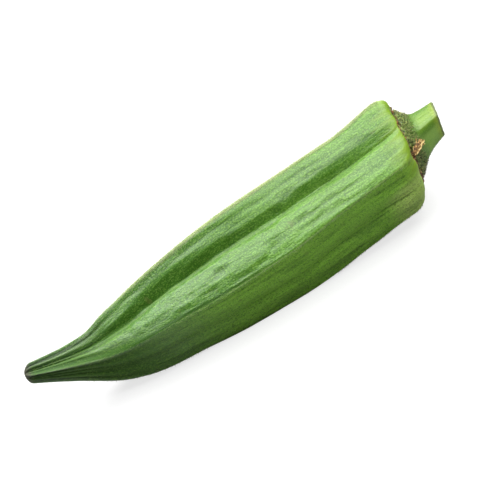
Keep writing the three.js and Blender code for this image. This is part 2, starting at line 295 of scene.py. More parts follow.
# Triangles from a middle point to the row that starts at first.
def fanFaces(middle, first, columns, turned):
    j = np.arange(columns)
    after = (j + 1) % columns
    sides = (after, j) if turned else (j, after)
    return np.stack([np.full(columns, middle), first + sides[0], first + sides[1]], -1)


# A grid's values as a flat list, then the means of its first and last rows for the two middles.
def withMiddles(values):
    ends = np.stack([values[0].mean(0), values[-1].mean(0)])
    return np.concatenate([values.reshape(-1, *values.shape[2:]), ends])


# The faces of a grid whose two ends are closed by fans to the middles that withMiddles adds.
def closedFaces(rows, columns):
    count = rows * columns
    low = fanFaces(count, 0, columns, True)
    high = fanFaces(count + 1, count - columns, columns, False)
    return gridFaces(rows, columns), np.concatenate([low, high])


# Random numbers between two ends, as a column.
def drawColumn(rng, ends, count):
    return rng.uniform(*ends, count)[:, None]


noTriangles = np.zeros((0, 3), int)
noQuads = np.zeros((0, 4), int)


# A mesh object that rides the root body. Points are millimetres, and attributes hold one number,
# or three, for each point. Nodes are the solids that it stands in for.
def makePiece(name, points, quads, triangles, attributes, material, slotName, nodes=()):
    mesh = bpy.data.meshes.new(name)
    mesh.vertices.add(len(points))
    mesh.vertices.foreach_set("co", (points * mm).astype(np.float32).ravel())
    loops = np.concatenate([quads.ravel(), triangles.ravel()]).astype(np.int32)
    triangleStarts = len(quads) * 4 + np.arange(len(triangles)) * 3
    starts = np.concatenate([np.arange(len(quads)) * 4, triangleStarts])
    mesh.loops.add(len(loops))
    mesh.loops.foreach_set("vertex_index", loops)
    mesh.polygons.add(len(starts))
    mesh.polygons.foreach_set("loop_start", starts.astype(np.int32))
    mesh.update(calc_edges=True)
    mesh.validate()
    mesh.shade_smooth()
    for key, values in attributes.items():
        kind, field = ("FLOAT_VECTOR", "vector") if values.ndim == 2 else ("FLOAT", "value")
        layer = mesh.attributes.new(key, kind, "POINT")
        layer.data.foreach_set(field, values.astype(np.float32).ravel())
    mesh.materials.append(material)
    piece = bpy.data.objects.new(name, mesh)
    bpy.context.collection.objects.link(piece)
    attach(piece, "root")
    if nodes:
        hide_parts(*nodes)
    print(name, len(quads) * 2 + len(triangles), "triangles")


# A piece from a grid of points and its values, whose two ends are closed by fans.
def makeClosed(name, grid, attributes, material, slotName, nodes):
    quads, fans = closedFaces(*grid.shape[:2])
    values = {key: withMiddles(field) for key, field in attributes.items()}
    makePiece(name, withMiddles(grid), quads, fans, values, material, slotName, nodes)


# A material and short ways to put nodes in it.
class Finish:
    def __init__(self, name):
        self.material = bpy.data.materials.new(name)
        self.material.use_nodes = True
        self.nodes = self.material.node_tree.nodes
        self.links = self.material.node_tree.links
        self.shader = self.nodes["Principled BSDF"]

    def put(self, socket, value):
        if isinstance(value, bpy.types.NodeSocket):
            self.links.new(value, socket)
        elif isinstance(value, tuple) and socket.type == "RGBA":
            socket.default_value = (*value, 1)
        else:
            socket.default_value = value

    def node(self, kind, **inputs):
        node = self.nodes.new(kind)
        for key, value in inputs.items():
            self.put(node.inputs[key], value)
        return node

    def attribute(self, name, vector=False):
        node = self.nodes.new("ShaderNodeAttribute")
        node.attribute_name = name
        return node.outputs["Vector" if vector else "Fac"]

    def objectPlace(self):
        return self.nodes.new("ShaderNodeTexCoord").outputs["Object"]

    def noise(self, where, scale, detail=2.0, roughness=0.5, stretch=(1, 1, 1)):
        place = self.node("ShaderNodeMapping", Vector=where, Scale=stretch).outputs["Vector"]
        node = self.node("ShaderNodeTexNoise", Vector=place, Scale=scale, Detail=detail)
        node.inputs["Roughness"].default_value = roughness
        return node.outputs["Fac"]

    # start below low and end above high, smoothly between; low may be above high.
    def ramp(self, value, low, high, start=0.0, end=1.0):
        node = self.nodes.new("ShaderNodeMapRange")
        node.interpolation_type = "SMOOTHSTEP"
        keys = ("Value", "From Min", "From Max", "To Min", "To Max")
        for key, number in zip(keys, (value, low, high, start, end)):
            self.put(node.inputs[key], number)
        return node.outputs["Result"]

    def math(self, operation, a, b):
        node = self.nodes.new("ShaderNodeMath")
        node.operation = operation
        self.put(node.inputs[0], a)
        self.put(node.inputs[1], b)
        return node.outputs["Value"]

    def times(self, a, b):
        return self.math("MULTIPLY", a, b)

    def mix(self, factor, a, b):
        node = self.nodes.new("ShaderNodeMix")
        node.data_type = "RGBA"
        self.put(node.inputs[0], factor)
        self.put(node.inputs[6], a)
        self.put(node.inputs[7], b)
        return node.outputs[2]

    # over laid on under as value goes from low to high, up to most of it.
    def tint(self, under, over, value, low, high, most=1.0):
        return self.mix(self.ramp(value, low, high, 0, most), under, over)

    # Several tints in turn, each a row of a colour's name and the rest of what tint takes.
    def tints(self, under, colours, rows):
        for name, *how in rows:
            under = self.tint(under, colours[name], *how)
        return under

    def bump(self, height, distance, strength=1.0, under=None):
        node = self.node("ShaderNodeBump", Height=height, Distance=distance * mm, Strength=strength)
        if under is not None:
            self.put(node.inputs["Normal"], under)
        return node.outputs["Normal"]

    def finish(self, colour, **sockets):
        self.put(self.shader.inputs["Base Color"], colour)
        for key, value in sockets.items():
            self.put(self.shader.inputs[key.replace("_", " ")], value)
        return self.material


# The tints for the valleys and furrows are partly or wholly painted shade, deep also serves as
# painted shade, the one for the lower faces is painted light, the shoulder's partly painted light,
# and the pale one beside the first valley a painted highlight.
skinColours = {
    "dull": (0.054, 0.15, 0.022), "deep": (0.026, 0.08, 0.004), "mid": (0.06, 0.19, 0.022),
    "fresh": (0.118, 0.298, 0.016), "lower": (0.285, 0.63, 0.052), "valley": (0.028, 0.1, 0.002),
    "crest": (0.53, 0.64, 0.27), "shoulder": (0.58, 0.8, 0.2), "rim": (0.175, 0.285, 0.01),
    "lip": (0.52, 0.5, 0.12), "tip": (0.058, 0.114, 0.044), "tipEnd": (0.115, 0.105, 0.082),
    "fuzz": (0.24, 0.44, 0.07), "pit": (0.03, 0.1, 0.003), "paintedHighlight": (0.18, 0.28, 0.13),
    "flute": (0.22, 0.34, 0.14), "furrow": (0.014, 0.04, 0.007), "blemish": (0.1, 0.13, 0.025),
}


# Green that freshens from the tip to the stem, in streaks that follow the ribs, with pale crests,
# valleys that are partly their own deeper green and partly painted shade, creases darkened as
# painted shade, a painted highlight beside the first valley, a thin dark seam beside one ridge,
# painted shade on the lower faces, strongest towards the tip, and in two bands of the first face,
# painted light on the lower faces towards the stem, a pale shoulder that is partly its own
# yellow-green and partly painted light, a yellow-green rim, a dull tip with paler flutes, partly
# pale down and partly a painted highlight, and darker furrows of painted shade, and a fine pale
# grain all over. Its gloss is lower in the valleys, in the shades, low down and at the rim, and
# higher towards the tip.
def skinMaterial():
    f = Finish("okraSkin")
    c = skinColours
    flow = f.attribute("flow", vector=True)
    where = f.objectPlace()
    names = ("fromTip", "fromLip", "valley", "shade", "lower", "paler", "flute")
    fromTip, fromLip, valley, shade, lower, paler, flute = map(f.attribute, names)
    streaks = f.noise(flow, 900, 3, 0.6, (0.12, 1, 1))
    broad = f.noise(flow, 160, 2, 0.5, (0.3, 1, 1))
    grain = f.noise(flow, 4600, 1, 0.6, (0.6, 1, 1))
    fine = f.noise(where, 9000, 1, 0.5)
    lines = f.noise(flow, 1900, 2, 0.6, (0.07, 1, 1))
    green = f.tints(c["dull"], c, (
        ("mid", fromTip, 2, 26), ("fresh", fromTip, 20, 80),
        ("deep", broad, 0.35, 0.7, 0.4), ("fresh", streaks, 0.42, 0.7, 0.35),
        # painted light that lifts the lower faces, then a pale shoulder that is partly painted
        # light
        ("lower", lower, 0, 1, 0.8), ("shoulder", paler, 0, 1, 0.9),
        # painted shade on the faces, then the valleys: partly their own deeper green, partly
        # painted shade
        ("deep", shade, 0, 1, 0.85), ("valley", valley, 0.1, 1, 0.85),
        # darker where the relief sinks into creases: painted shade
        ("valley", f.attribute("relief"), -0.03, -0.16, 0.4),
        # a painted highlight: a pale tint beside the first valley
        ("paintedHighlight", f.attribute("paintedHighlight"), 0, 1, 0.75),
    ))
    pale = f.times(f.ramp(grain, 0.5, 0.66, 0, 0.6), f.ramp(valley, 0, 0.8, 1, 0.5))
    green = f.mix(f.times(pale, f.ramp(shade, 0, 1, 1, 0.4)), green, c["fuzz"])
    green = f.tint(green, c["pit"], grain, 0.5, 0.36, 0.6)
    dark = f.times(f.ramp(lines, 0.46, 0.3, 0, 0.45), f.ramp(lower, 0, 1, 1, 0.4))
    green = f.mix(dark, green, c["pit"])
    onCrest = f.times(f.ramp(f.attribute("crest"), 0.1, 0.9), f.ramp(streaks, 0.36, 0.6, 0.9, 0.5))
    green = f.mix(onCrest, green, c["crest"])
    green = f.tint(green, c["pit"], f.attribute("seam"), 0, 1, 0.95)
    green = f.tint(green, c["blemish"], f.noise(where, 330, 3, 0.6), 0.66, 0.74, 0.5)
    wornRim = f.math("ADD", fromLip, f.ramp(streaks, 0.3, 0.7, -1.2, 1.2))
    atRim = f.times(f.ramp(wornRim, 6.0, 0.8, 0, 0.85), f.ramp(paler, 0, 1, 1, 0.35))
    green = f.mix(atRim, green, c["rim"])
    green = f.tint(green, c["lip"], fromLip, 0.5, 0.1, 0.8)
    wornTip = f.math("ADD", fromTip, f.ramp(streaks, 0.3, 0.7, -2.5, 2.5))
    dulled = f.times(f.ramp(wornTip, 12, 1.5, 0, 0.85), f.ramp(shade, 0, 1, 1, 0.5))
    green = f.mix(dulled, green, c["tip"])
    # Paler flute crests at the tip: partly their own pale down, partly a painted highlight.
    fluted = f.times(f.ramp(flute, 0.1, 1, 0, 0.65), f.ramp(shade, 0, 0.8, 1, 0.35))
    green = f.mix(fluted, green, c["flute"])
    # Darker furrows between the flutes: painted shade.
    furrowShade = f.times(f.ramp(flute, 0.1, -0.8, 0, 0.7), f.ramp(shade, 0, 0.8, 1, 0.5))
    green = f.mix(furrowShade, green, c["furrow"])
    green = f.tint(green, c["tipEnd"], fromTip, 2.2, 0.5, 0.8)
    bump = f.bump(grain, 0.1, 0.9)
    bump = f.bump(lines, 0.14, 0.8, bump)
    bump = f.bump(fine, 0.014, 0.5, bump)
    hidden = f.math("MAXIMUM", f.ramp(valley, 0.3, 0.75), f.ramp(wornRim, 3.5, 0.8, 0, 0.8))
    for share in (f.ramp(shade, 0.1, 0.8), f.ramp(lower, 0, 1, 0, 0.7)):
        hidden = f.math("MAXIMUM", hidden, share)
    roughness = f.math("ADD", f.ramp(grain, 0.3, 0.7, 0.28, 0.42), f.ramp(hidden, 0, 1, 0, 0.2))
    gloss = f.times(f.ramp(hidden, 0, 1, 0.58, 0.18), f.ramp(fromTip, 20, 60, 1.35, 1))
    gloss = f.times(gloss, f.ramp(fromTip, 4, 18, 0.9, 1))
    return f.finish(
        green, Roughness=roughness, Normal=bump, Specular_IOR_Level=gloss,
        Subsurface_Weight=0.12, Subsurface_Radius=(0.5, 1.0, 0.2), Subsurface_Scale=1.0 * mm,
    )


skinValues = {
    "columnsPerFace": 48, "columnPinch": 0.5,
    "domeRows": 12, "bodyRows": 286, "shoulderRows": 24, "lipRows": 5, "wallRows": 3,
    "shoulderCalm": 0.75, "flowRadius": 10,
    "drift": 2.0, "driftWaves": (10, 10, (1, 5), (0.1, 0.6)),
    "striation": 0.04, "striationWaves": (11, 26, (22, 64), (0, 0.28)),
    "swell": 0.05, "swellWaves": (12, 14, (6, 14), (0.1, 0.42)),
    "patchLevel": 0.7, "patchSpread": 0.5, "patchWaves": (17, 16, (3, 12), (0.15, 0.6)),
    "wrinkle": 0.045, "wrinkleWaves": (14, 40, (20, 56), (0.15, 0.85)),
    "crease": 0.11, "creaseWidth": 0.16, "creaseWaves": (15, 24, (12, 26), (0.08, 0.55)),
    "knolls": 0.055, "knollWaves": (16, 30, (8, 26), (0.35, 1.3)),
    "crestMargin": (0.5, 2.1), "wrinkleShare": [1, 0.3, 0.7, 0.9, 1],
    "wrinkleRise": (8, 18), "wrinkleFall": 0.6, "wrinkleFade": (60, 80),
    "fluteHeight": 0.18, "fluteFade": (5, 26),
    "ledge": [(0, 0), (25, 0), (50, 0.2), (80, 0.26), (88.2, 0.1)], "ledgeWidths": (1.4, 0.6),
    # The valley tint is partly the grooves' own deeper green and partly painted shade on their
    # walls.
    "valleyBand": [(0, 0.3), (15, 0.6), (23, 0.85), (33, 1.35), (45, 1.25), (60, 1.0), (70, 1.2),
                   (88.2, 1.2)],
    "valleySide": [(0, -0.2), (15, -0.4), (23, -0.7), (33, -1.3), (50, -1.0), (65, -1.5),
                   (88.2, -1.9)],
    "valleyShare": [1, 0.3, 0.6, 0.8, 0.7],
    "valleyDepth": [(0, 1), (42, 1), (53, 0.5), (72, 0.66), (88.2, 0.5)],
    "valleyEdge": 0.9, "valleyFade": 1.1,
    "valleyWander": 0.3, "wanderWaves": (19, 12, (2, 8), (0.15, 0.6)),
    # A painted highlight: the pale tint just past the first valley.
    "highlightSide": 0.85, "highlightBand": 0.55,
    "highlightShare": [(0, 0), (14, 0.2), (26, 0.9), (50, 1), (64, 0.7), (76, 0.3), (88.2, 0)],
    "crestBands": [0.3, 0.16, 0.2, 0.2, 0.24], "crestTints": [1, 0.42, 0.5, 0.5, 0.8],
    "crestRise": (8, 42),
    "seamSide": 0.45, "seamBand": 0.18,
    "seamShare": [(0, 0), (10, 0.5), (16, 1), (43, 1), (54, 0.45), (66, 0), (88.2, 0)],
    "shadeShare": [0, 0.1, 0.24, 0.16, 0], "shadeEdge": 0.8,
    "shadeAtTip": 6, "tipShade": (12, 42),
    "upperShade": [(0, 0), (25, 0), (35, 0.08), (50, 0.45), (63, 0.3), (88.2, 0)],
    "upperEdge": 1.2, "upperBlend": 0.06,
    # The lower tint is painted light that lifts the lower faces, more towards the stem.
    "lowerFaces": [0, 1, 0.7, 0, 0], "lowerEdge": 0.5,
    "lowerShare": [(0, 0), (15, 0.05), (30, 0.42), (50, 1), (75, 0.82), (88.2, 1)],
    "browWidth": 1.3,
    "browShade": [(0, 1.3), (7, 1.6), (11, 1.4), (15, 1.0), (21, 0.75), (30, 0.4), (55, 0),
                  (88.2, 0)],
    # The paler shoulder is partly its own yellow-green and partly painted light.
    "palerRise": (76, 85), "palerEdge": (0.15, 0.45),
}
# Lesser grooves: the face, where the groove runs across it, how deep it is, and its width.
lesserGrooves = [
    (0, [(0, 0.95), (30, 0.965), (88.2, 0.955)],
     [(0, 0), (15, 0.08), (45, 0.1), (70, 0.04), (88.2, 0)], 0.2),
    (0, [(0, 0.88), (33, 0.9), (50, 0.915), (88.2, 0.915)],
     [(0, 0.05), (45, 0.16), (60, 0.17), (88.2, 0.12)], 0.3),
    (0, [(0, 0.8), (88.2, 0.8)], [(0, 0.1), (45, 0.1), (60, 0.22), (88.2, 0.18)], 0.4),
    (0, [(0, 0.66), (33, 0.68), (88.2, 0.66)],
     [(0, 0.1), (45, 0.08), (60, 0.12), (88.2, 0.18)], 0.35),
    (0, [(0, 0.2), (40, 0.17), (88.2, 0.2)],
     [(0, 0.1), (30, 0.2), (65, 0.26), (88.2, 0.12)], 0.35),
    (0, [(0, 0.32), (40, 0.3), (88.2, 0.32)],
     [(0, 0.02), (50, 0.05), (70, 0.14), (88.2, 0.12)], 0.35),
    (1, [(0, 0.18), (40, 0.14), (88.2, 0.18)], [(0, 0.1), (50, 0.1), (88.2, 0.14)], 0.5),
    (1, [(0, 0.78), (50, 0.83), (88.2, 0.8)], [(0, 0.1), (40, 0.14), (88.2, 0.16)], 0.55),
    (2, [(0, 0.2), (50, 0.18), (88.2, 0.2)], [(0, 0.1), (40, 0.15), (88.2, 0.18)], 0.5),
    (2, [(0, 0.8), (50, 0.84), (88.2, 0.8)], [(0, 0.1), (50, 0.14), (88.2, 0.16)], 0.5),
    (3, [(0, 0.2), (45, 0.15), (88.2, 0.2)], [(0, 0.1), (50, 0.18), (88.2, 0.18)], 0.55),
    (3, [(0, 0.8), (50, 0.82), (88.2, 0.8)], [(0, 0.1), (50, 0.12), (88.2, 0.16)], 0.5),
    (4, [(0, 0.2), (50, 0.18), (88.2, 0.17)], [(0, 0.1), (60, 0.2), (88.2, 0.18)], 0.55),
    (4, [(0, 0.8), (40, 0.85), (88.2, 0.82)], [(0, 0.1), (50, 0.16), (88.2, 0.16)], 0.5),
]


# Flutes that run together at the tip: four waves to a face, dying away along the pod.
def fluteWave(across, station):
    v = skinValues
    return np.cos(8 * np.pi * across) * (1 - stepUp(station, *v["fluteFade"]))


# The skin's own relief on the ribbed form: long fine striations, slow swells, then wrinkles,
# creases and low knolls in patches that lie along the pod, more on some faces than on others,
# less the lesser grooves, plus a ledge on each side of the second ridge and the flutes. A slow
# drift of the angle keeps the wrinkles from running dead straight, and slow sines of the station
# move each groove by up to 0.4 mm and change its depth by up to half.
def skinRelief(face, across, station):
    v = skinValues
    angle, span = columnAngle(face, across, station)
    fromCrest, _ = arcDistances(face, across, station)
    width = faceWidth(span, station)
    awayFromCrest = stepUp(fromCrest, *v["crestMargin"])
    drifted = angle + v["drift"] * waves(*v["driftWaves"], angle, station)
    striation = v["striation"] * waves(*v["striationWaves"], angle, station)
    swell = v["swell"] * waves(*v["swellWaves"], angle, station)
    patch = v["patchLevel"] + v["patchSpread"] * waves(*v["patchWaves"], angle, station)
    patch = smoothStep(patch)
    wrinkle = v["wrinkle"] * patch * waves(*v["wrinkleWaves"], drifted, station)
    lines = waves(*v["creaseWaves"], drifted, station)
    crease = -v["crease"] * patch * bell(lines / v["creaseWidth"])
    knolls = v["knolls"] * patch * waves(*v["knollWaves"], angle, station)
    middle = 1 - v["wrinkleFall"] * stepUp(station, *v["wrinkleFade"])
    middle = stepUp(station, *v["wrinkleRise"]) * middle * pick(v["wrinkleShare"], face)
    relief = striation + awayFromCrest * (swell + middle * (wrinkle + crease + knolls))
    for grooveFace, line, depths, broad in lesserGrooves:
        wander = 0.25 * np.sin(0.31 * station + 1.7 * grooveFace) + 0.15 * np.sin(0.83 * station)
        away = (across - curveThrough(line, station)) * width + wander
        depth = curveThrough(depths, station) * (0.75 + 0.25 * np.sin(0.47 * station + grooveFace))
        relief = relief - np.where(face == grooveFace, depth * bell(away / broad), 0)
    upperWidth, lowerWidth = v["ledgeWidths"]
    ledge = np.where(face == 0, bell(fromCrest / upperWidth), bell(fromCrest / lowerWidth))
    ledge = ledge * (nearestRidge(face, across) == 1) * curveThrough(v["ledge"], station)
    return relief + ledge + v["fluteHeight"] * fluteWave(across, station)


# The rows of the skin, with each point's station, distance from the lip and relief: the dome at
# the tip, the body, the shoulder, where each ridge turns in to the rim along a rounded path of
# its own, and then the lip and the wall and floor of the recess.
def skinGrid(face, across):
    v = skinValues
    f = formValues
    tip = lieValues["tipStation"]
    domeEnd = tip + f["tipDome"]
    turn = quarterTurn(v["domeRows"])
    dome = tip + f["tipDome"] * (1 - np.cos(turn))
    body = np.linspace(domeEnd, f["shoulderStart"], v["bodyRows"] + 1)[1:, None]
    station = np.concatenate([dome, body])
    share = np.concatenate([np.sin(turn), np.ones_like(body)])
    relief = skinRelief(face, across, station) * share**2
    angle, _ = columnAngle(face, across, station)
    radius = podRadius(face, across, station) * share + relief
    fromLip = f["shoulderStart"] - station + f["shoulderArc"]
    parts = [(place(station, angle, radius), station, fromLip, relief)]

    turn = quarterTurn(v["shoulderRows"])
    power = 2 / blendAcross(f["shoulder"], face, across)
    along = np.sin(turn) ** power
    outward = np.maximum(np.cos(turn), 0) ** power
    station = f["shoulderStart"] + (lieValues["podLength"] - f["shoulderStart"]) * along
    angle, _ = columnAngle(face, across, station)
    relief = skinRelief(face, across, station) * (1 - v["shoulderCalm"] * along)
    lip = lieValues["lipRadius"]
    radius = lip + (podRadius(face, across, station) - lip) * outward + relief * outward**0.5
    raiseBy = rimReach(face, across, lip) * along**3
    points = place(station, angle, radius, raiseBy, lieValues["rimShift"] * (1 - outward))
    parts.append((points, station, f["shoulderArc"] * (1 - turn / (np.pi / 2)), relief))

    lipRound = lieValues["lipRound"]
    deepest = lieValues["recessDepth"]
    wall = lip - lipRound
    turn = quarterTurn(v["lipRows"])
    deep = np.linspace(lipRound, deepest, v["wallRows"] + 1)[1:, None]
    radii = np.concatenate([lip - lipRound * np.sin(turn), np.full_like(deep, wall), [[wall / 2]]])
    heights = np.concatenate([lipRound * (np.cos(turn) - 1), -deep, [[-deepest]]])
    parts.append((placeAtRim(face, across, radii, heights), lieValues["podLength"], 0.0, 0.0))

    fields = []
    for k in (1, 2, 3):
        spread = [np.broadcast_to(part[k], part[0].shape[:2]) for part in parts]
        fields.append(np.concatenate(spread))
    return np.concatenate([part[0] for part in parts]), *fields


# The skin, flat where its lowest ridges would go below z = 0. Its tints are bells or smooth
# steps of the distance from a ridge or a valley, each times its own share at the station: crest
# on the ridges, valley in the grooves up to an edge that wanders, which is partly painted shade,
# a painted highlight just past the first groove, seam close beside the second ridge, shade, which
# is painted shade, on the faces that have it and in two bands of the first face, lower, which is
# painted light, on the faces that have it, and paler, which is partly painted light, near the
# stem end.
def makeSkin():
    v = skinValues
    face, across = roundColumns(v["columnsPerFace"], v["columnPinch"])
    grid, station, fromLip, relief = skinGrid(face, across)
    grid[..., 2] = np.maximum(grid[..., 2], 0)
    angle, _ = columnAngle(face, across, station)
    fromCrest, fromValley = arcDistances(face, across, station)
    ridge = np.broadcast_to(nearestRidge(face, across), station.shape)
    belowValley = (face == 0) * (across > 0.5)

    def at(key):
        return curveThrough(v[key], station)

    crest = bell(fromCrest / pick(v["crestBands"], ridge)) * pick(v["crestTints"], ridge)
    crest = crest * stepUp(station, *v["crestRise"])
    # The valley tint: partly the grooves' own deeper green, partly painted shade on the groove's
    # wall.
    valley = bell((fromValley - at("valleySide")) / at("valleyBand")) * at("valleyDepth")
    edge = v["valleyEdge"] + v["valleyWander"] * waves(*v["wanderWaves"], angle, station)
    valley = valley * smoothStep((edge - fromValley) / v["valleyFade"])
    valley = valley * pick(v["valleyShare"], face)
    seam = belowValley * bell((fromCrest - v["seamSide"]) / v["seamBand"]) * at("seamShare")
    # Painted highlight: a pale tint on the wall just past the first valley, where gloss would be.
    paintedHighlight = (face == 0) * bell((fromValley - v["highlightSide"]) / v["highlightBand"]) * at("highlightShare")
    deeper = 1 + v["shadeAtTip"] * (1 - stepUp(station, *v["tipShade"]))
    shade = pick(v["shadeShare"], face) * smoothStep(fromCrest / v["shadeEdge"]) * deeper
    upper = smoothStep(fromCrest / v["upperEdge"]) * smoothStep((0.5 - across) / v["upperBlend"])
    shade = shade + (face == 0) * upper * at("upperShade")
    shade = shade + belowValley * bell(fromCrest / v["browWidth"]) * at("browShade")
    shade = np.clip(shade, 0, 1)
    # Painted light: a brighter green that lifts the lower faces, more towards the stem.
    lower = pick(v["lowerFaces"], face) * smoothStep(fromCrest / v["lowerEdge"])
    lower = lower * at("lowerShare")
    # A paler shoulder on the lower faces near the stem end: partly its own yellow-green, partly
    # painted light.
    paler = (face == 1) * stepUp(across, *v["palerEdge"]) + (face == 2) * smoothStep(1 - across)
    paler = paler * stepUp(station, *v["palerRise"])
    attributes = {
        "fromTip": station, "fromLip": fromLip, "crest": crest, "valley": valley, "shade": shade,
        "lower": lower, "paler": paler, "paintedHighlight": paintedHighlight, "seam": seam, "relief": relief,
        "flute": fluteWave(across, station),
        "flow": flowPlace(station, angle, v["flowRadius"]),
    }
    makeClosed("podSkin", grid, attributes, skinMaterial(), "pod_skin", ["pod"])
    return grid, station, fromCrest, ridge


stalkValues = {
    "columnsPerFace": 40, "sideRows": 120, "bevelRows": 4, "cutRows": 22,
    "stalkLength": 8, "baseHeight": -0.9,
    "stalkRadius": [(0, 7.3), (0.8, 6.8), (1.6, 5.8), (2.3, 5.1), (3.2, 4.45), (4.75, 3.9),
                    (6.3, 3.6), (8, 3.4)],
    "stalkRise": [(0, 0.1), (2.3, 0.2), (3.2, 0.3), (4.75, 0.65), (6.3, 0.95), (8, 1.25)],
    "stalkEdges": 0.06, "edgesRise": (1, 4), "edgeSoftness": 0.34, "edgeTurn": 0.27,
    "cutLean": 3.5, "cutBevel": 0.25, "cutMiddle": 0.04,
    "cutSkin": 0.07, "cutSkinAt": 0.96, "cutSkinWidth": 0.03,
    "pithDish": 0.12, "pithEdge": (0.5, 0.7), "sawn": 0.02, "sawnWaves": (44, 16, (3, 26), (6, 30)),
    "knobble": 0.1, "knobbleRise": (-0.6, -0.1), "knobbleFade": (3, 1.5),
    "knobbleWaves": (41, 44, (14, 56), (1.5, 6)),
    "striation": 0.012, "striationRise": (0, 2), "striationWaves": (42, 26, (10, 44), (0, 0.5)),
    # Painted shade: a darker stripe just past each edge.
    "edgeShadeAcross": 0.16, "edgeShadeWidth": 0.11, "edgeShadeRise": (2, 4),
    # Painted light: a paler tint on the stalk's lower side.
    "underLightRise": (-110, -70), "underLightFade": (40, 10), "flowRadius": 4,
}
# The edge colour is painted shade beside each edge and the under colour painted light below.
stalkColours = {
    "cap": (0.13, 0.23, 0.02), "capDark": (0.02, 0.035, 0.006), "capPale": (0.36, 0.45, 0.11),
    "flesh": (0.17, 0.3, 0.02), "fleshDeep": (0.13, 0.26, 0.014), "edge": (0.07, 0.18, 0.001),
    "cutEdge": (0.1, 0.12, 0.03), "ring": (0.26, 0.4, 0.07), "pith": (0.52, 0.58, 0.3),
    "dried": (0.36, 0.25, 0.1), "nearCut": (0.27, 0.35, 0.02), "neck": (0.085, 0.19, 0.012),
    "under": (0.22, 0.4, 0.06),
}


# Olive and stubbly on the cap, clear yellow green up the stalk, with a darker stripe of painted
# shade along each edge and painted light that makes it paler below; the cut has a dark skin, a
# green ring and a pale pith that is drying.
def stalkMaterial():
    f = Finish("stalkFlesh")
    c = stalkColours
    where = f.objectPlace()
    flow = f.attribute("flow", vector=True)
    height = f.attribute("height")
    share = f.attribute("share")
    streaks = f.noise(flow, 1500, 3, 0.6, (0.12, 1, 1))
    specks = f.noise(where, 1700, 3, 0.6)
    green = f.tints(c["flesh"], c, (
        # the under row is painted light that makes the stalk paler below
        ("fleshDeep", streaks, 0.35, 0.7), ("under", f.attribute("under"), 0, 1, 0.8),
        # the edge row is painted shade just past each edge
        ("edge", f.attribute("edge"), 0.1, 1, 0.85), ("nearCut", height, 6.2, 7.6, 0.6),
        ("cutEdge", height, 7.52, 7.7, 0.85), ("neck", height, 4.4, 2.4),
    ))
    cap = f.tints(c["cap"], c, (
        ("capPale", specks, 0.52, 0.64, 0.85), ("capDark", specks, 0.5, 0.38, 0.9),
    ))
    wornHeight = f.math("ADD", height, f.ramp(streaks, 0.3, 0.7, -0.7, 0.7))
    green = f.tint(green, cap, wornHeight, 2.3, 0.9)
    face = f.tints(c["pith"], c, (
        ("dried", specks, 0.4, 0.7, 0.5), ("ring", share, 0.56, 0.7),
        ("cutEdge", share, 0.9, 0.97),
    ))
    colour = f.mix(f.attribute("cutFace"), green, face)
    bump = f.bump(specks, 0.1, 0.7)
    bump = f.bump(f.noise(where, 8000, 1, 0.5), 0.015, 0.5, bump)
    return f.finish(
        colour, Roughness=f.ramp(specks, 0.3, 0.7, 0.32, 0.5), Normal=bump, Specular_IOR_Level=0.65,
        Subsurface_Weight=0.12, Subsurface_Radius=(0.6, 1.0, 0.2), Subsurface_Scale=0.8 * mm,
    )


